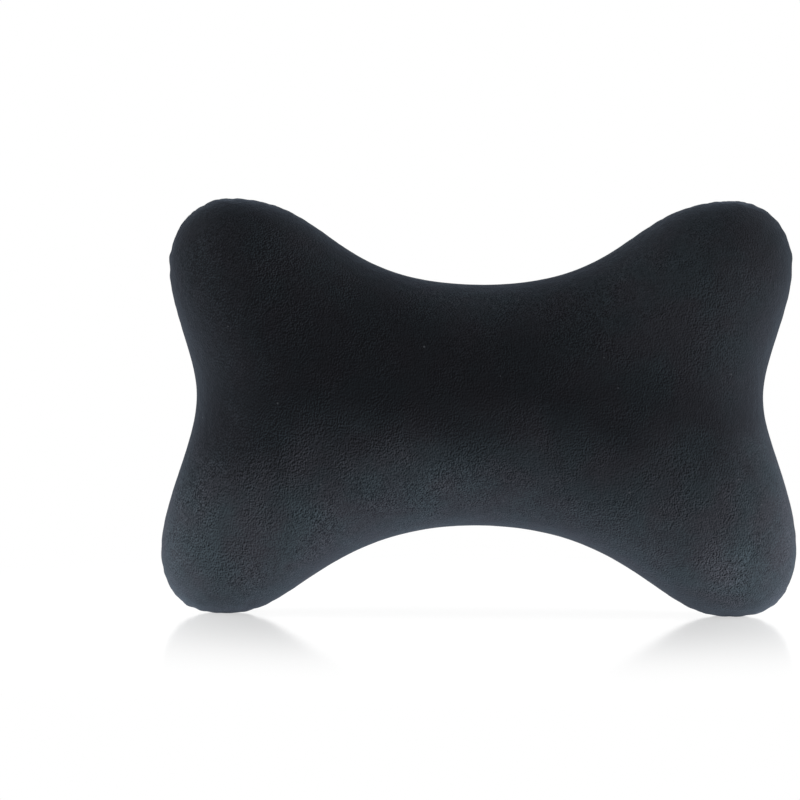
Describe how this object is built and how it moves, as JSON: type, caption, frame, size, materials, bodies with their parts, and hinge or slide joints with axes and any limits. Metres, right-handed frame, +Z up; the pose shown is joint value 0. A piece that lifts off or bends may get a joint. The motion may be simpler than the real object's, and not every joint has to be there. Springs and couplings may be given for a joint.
{
  "type": "car neck pillow",
  "caption": "Bone-shaped stuffed neck pillow in short-pile velour, with rounded lobes, a hollow for the neck, and an elastic band across the back for a headrest.",
  "frame": {"origin": "on the floor below the middle of the pillow, which stands on its two lower lobes", "axes": "+Z up, +X along the pillow's length; the front panel faces -Y, the seam lies in the plane Y = 0, and the headrest band is on the +Y side"},
  "size_m": [0.28, 0.095, 0.1832],
  "materials": {
    "velour": "short brushed pile",
    "elastic": "ribbed knit"
  },
  "bodies": {
    "root": {"cushion": "velour", "headrest_band": "elastic"}
  },
  "joints": []
}
